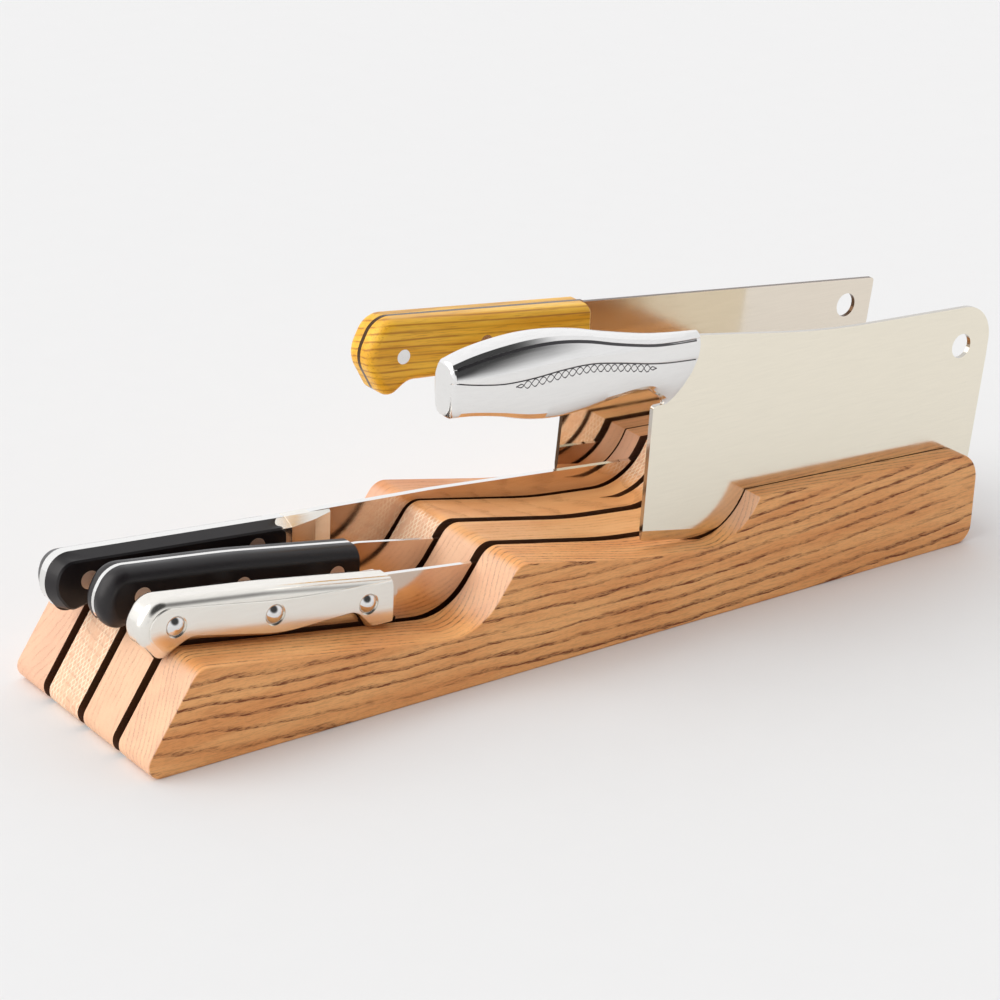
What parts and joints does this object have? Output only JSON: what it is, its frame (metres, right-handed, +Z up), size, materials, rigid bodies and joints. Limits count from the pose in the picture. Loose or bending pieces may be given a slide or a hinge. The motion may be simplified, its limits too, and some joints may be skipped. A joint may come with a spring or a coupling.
{
  "type": "knife block with knives",
  "caption": "Low oak block of slats with long slots and short kerfs, stepped in waves, holding slim knives by their blades and cleavers standing upright.",
  "frame": {"origin": "middle of the block's underside", "axes": "+X runs along the block from the handle end to the tall end, +Y across it from the slat with the steel cleaver to the slat with the wooden cleaver, +Z up"},
  "size_m": [0.3791, 0.088, 0.1218],
  "materials": {
    "oak_near": "oiled red oak with straight open grain",
    "oak_mid": "oiled red oak, paler",
    "oak_fleck": "quarter-sawn red oak with ray fleck",
    "oak_far": "oiled red oak, pinkish",
    "oak_dark": "stained inside of the slots",
    "blade_steel": "satin",
    "handle_steel": "polished",
    "black_scale": "satin black resin",
    "yellow_wood": "varnished striped wood",
    "rivet_brass": "flush ground",
    "rivet_steel": "polished"
  },
  "bodies": {
    "block": {"slat_near": "oak_near", "slat_inner_near": "oak_mid", "slat_inner_far": "oak_fleck", "slat_far": "oak_far", "slot_floor_1": "oak_dark", "slot_floor_2": "oak_dark", "slot_floor_3": "oak_dark"},
    "chef_knife": {"chef_blade": "blade_steel", "chef_bolster": "handle_steel", "chef_scale_near": "black_scale", "chef_scale_far": "black_scale", "chef_rivets": "rivet_brass"},
    "carving_knife": {"carving_blade": "blade_steel", "carving_scale_near": "black_scale", "carving_scale_far": "black_scale", "carving_rivets": "rivet_brass"},
    "utility_knife": {"utility_blade": "blade_steel", "utility_handle_near": "handle_steel", "utility_handle_far": "handle_steel", "utility_rivets": "rivet_steel"},
    "wood_cleaver": {"wood_cleaver_blade": "blade_steel", "wood_cleaver_scale_near": "yellow_wood", "wood_cleaver_scale_far": "yellow_wood", "wood_cleaver_rivets": "rivet_steel"},
    "steel_cleaver": {"steel_cleaver_blade": "blade_steel", "steel_cleaver_handle_near": "handle_steel", "steel_cleaver_handle_far": "handle_steel"}
  },
  "joints": [
    {"name": "draw_chef_knife", "type": "slide", "parent": "block", "child": "chef_knife", "axis": [-0.866, 0, 0.5], "range_m": [0, 0.11]},
    {"name": "draw_carving_knife", "type": "slide", "parent": "block", "child": "carving_knife", "axis": [-0.866, 0, 0.5], "range_m": [0, 0.11]},
    {"name": "draw_utility_knife", "type": "slide", "parent": "block", "child": "utility_knife", "axis": [-0.866, 0, 0.5], "range_m": [0, 0.1]},
    {"name": "lift_wood_cleaver", "type": "slide", "parent": "block", "child": "wood_cleaver", "axis": [0, 0, 1], "range_m": [0, 0.06]},
    {"name": "lift_steel_cleaver", "type": "slide", "parent": "block", "child": "steel_cleaver", "axis": [0, 0, 1], "range_m": [0, 0.06]}
  ]
}
